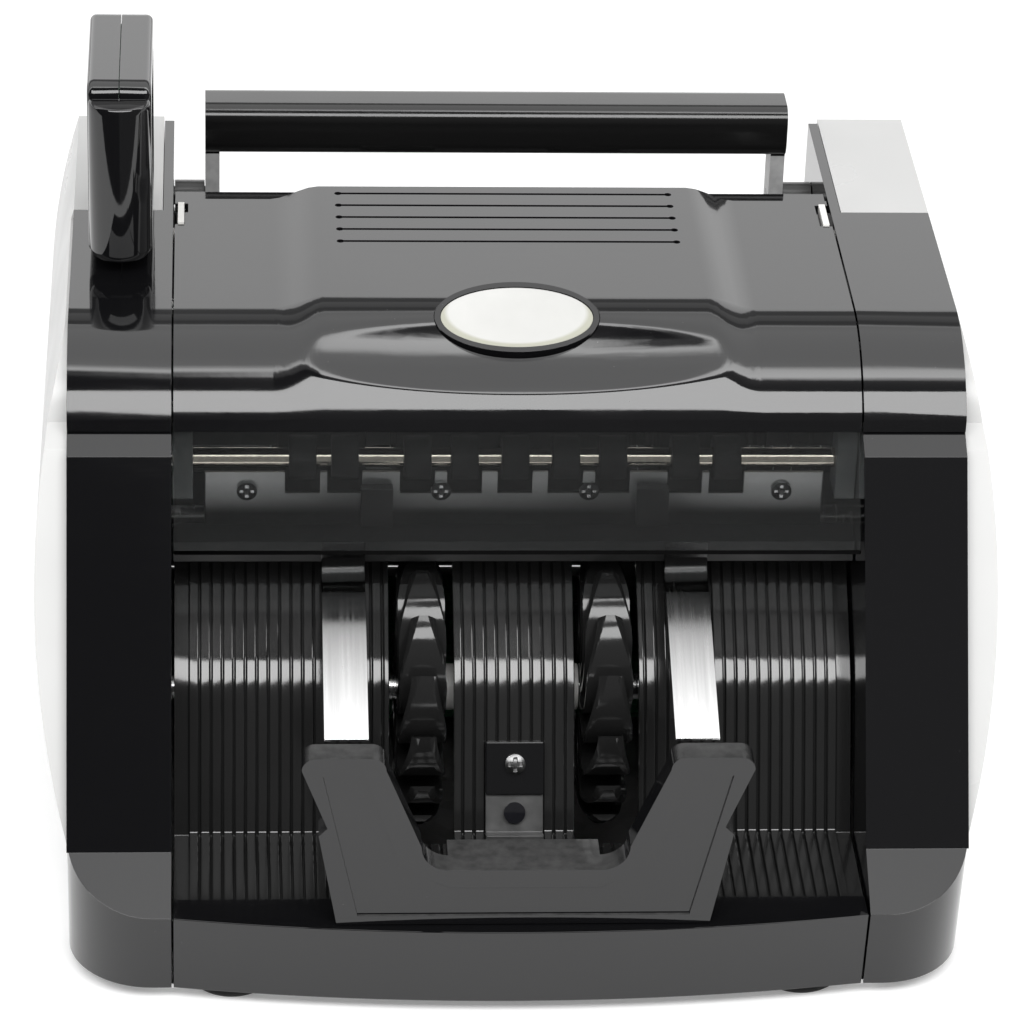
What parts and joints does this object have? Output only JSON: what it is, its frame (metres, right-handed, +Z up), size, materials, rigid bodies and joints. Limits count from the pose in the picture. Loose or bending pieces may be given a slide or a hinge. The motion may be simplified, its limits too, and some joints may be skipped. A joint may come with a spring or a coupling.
{
  "type": "banknote counting machine",
  "caption": "Desktop banknote counter: hopper behind a hinged top cover, smoked visor, impeller stacker with ribbed tray, carry handle and swivelling display pod.",
  "frame": {"origin": "on the table under the middle of the machine", "axes": "+X to the operator's right, front towards -Y, +Z up"},
  "size_m": [0.283, 0.26, 0.23],
  "materials": {
    "gloss_black": "polished black moulding",
    "white_shell": "fine satin white moulding",
    "black_plastic": "satin black moulding",
    "smoked": "smoked clear acrylic",
    "steel": "ground steel",
    "sheet_steel": "zinc-plated sheet",
    "rubber": "soft black rubber",
    "impeller": "flexible black plastic",
    "frosted": "cloudy grey plastic",
    "nylon": "natural nylon",
    "badge_white": "glossy cream white",
    "green_board": "solder mask",
    "iron": "varnished laminations",
    "screen_glass": "dark display window"
  },
  "bodies": {
    "chassis": {"bottom_plate": "sheet_steel", "counting_sensors": "black_plastic", "drive_belt": "rubber", "feet": "rubber", "front_tray": "gloss_black", "guide_screen": "sheet_steel", "hopper_bed": "black_plastic", "left_cheek": "gloss_black", "left_side_panel": "white_shell", "main_board": "green_board", "main_motor": "iron", "mains_inlet": "black_plastic", "note_deflectors": "steel", "path_bar": "black_plastic", "path_screws": "steel", "rear_cover": "white_shell", "retard_bar": "black_plastic", "retard_pad": "rubber", "right_cheek": "gloss_black", "right_side_panel": "white_shell", "sensor_bracket": "sheet_steel", "sensor_eye": "frosted", "sensor_plate": "black_plastic", "shaft_bearings": "steel", "shaft_end_blocks": "frosted", "side_frames": "sheet_steel", "stacker_guide": "black_plastic", "switch_case": "black_plastic", "tie_rods": "steel", "transformer": "iron"},
    "stacker_stop": {"stacker_plate": "gloss_black"},
    "impeller": {"left_impeller": "impeller", "right_impeller": "impeller", "impeller_collars": "nylon", "impeller_shaft": "steel", "impeller_pulley": "black_plastic"},
    "feed": {"feed_shaft": "steel", "feed_rollers": "rubber", "feed_pulley": "black_plastic"},
    "pickup": {"pickup_shaft": "steel", "pickup_rollers": "rubber", "pickup_pulley": "black_plastic"},
    "pinch": {"pinch_shaft": "steel", "pinch_rollers": "rubber"},
    "motor": {"motor_shaft": "steel", "motor_pulley": "black_plastic"},
    "rocker": {"switch_rocker": "black_plastic"},
    "cover": {"top_cover": "gloss_black", "visor": "smoked", "badge_bezel": "gloss_black", "badge_plate": "badge_white", "hinge_ears": "nylon"},
    "handle": {"carry_handle": "black_plastic", "handle_pivots": "steel"},
    "pod": {"pod_outer_shell": "gloss_black", "pod_inner_shell": "gloss_black", "pod_screen": "screen_glass", "pod_board": "green_board", "pod_neck": "gloss_black"}
  },
  "joints": [
    {"name": "cover_hinge", "type": "hinge", "parent": "chassis", "child": "cover", "pos_m": [0, 0.0575, 0.163], "axis": [-1, 0, 0], "range_deg": [0, 65]},
    {"name": "handle_fold", "type": "hinge", "parent": "chassis", "child": "handle", "pos_m": [0, 0.109, 0.1513], "axis": [-1, 0, 0], "range_deg": [0, 90]},
    {"name": "pod_swivel", "type": "hinge", "parent": "chassis", "child": "pod", "pos_m": [-0.117, 0.069, 0.17], "axis": [0, 0, -1], "range_deg": [0, 90]},
    {"name": "stacker_slide", "type": "slide", "parent": "chassis", "child": "stacker_stop", "axis": [0, 1, 0], "range_m": [0, 0.012]},
    {"name": "switch_rock", "type": "hinge", "parent": "chassis", "child": "rocker", "pos_m": [-0.03, 0.125, 0.034], "axis": [1, 0, 0], "range_deg": [0, 14]},
    {"name": "feed_spin", "type": "hinge", "parent": "chassis", "child": "feed", "pos_m": [0, 0.004, 0.114], "axis": [1, 0, 0], "continuous": true},
    {"name": "impeller_spin", "type": "hinge", "parent": "chassis", "child": "impeller", "pos_m": [0, -0.038, 0.0585], "axis": [1, 0, 0], "continuous": true},
    {"name": "pickup_spin", "type": "hinge", "parent": "chassis", "child": "pickup", "pos_m": [0, 0.084, 0.12283], "axis": [1, 0, 0], "continuous": true},
    {"name": "pinch_spin", "type": "hinge", "parent": "chassis", "child": "pinch", "pos_m": [0, -0.025, 0.1305], "axis": [1, 0, 0], "continuous": true},
    {"name": "motor_spin", "type": "hinge", "parent": "chassis", "child": "motor", "pos_m": [0, 0.07, 0.05], "axis": [1, 0, 0], "continuous": true}
  ],
  "couplings": [
    {"joint": "impeller_spin", "follows": "feed_spin", "ratio": 0.8},
    {"joint": "pickup_spin", "follows": "feed_spin", "ratio": 1.1429},
    {"joint": "motor_spin", "follows": "feed_spin", "ratio": 2},
    {"joint": "pinch_spin", "follows": "feed_spin", "ratio": -3.9948}
  ]
}
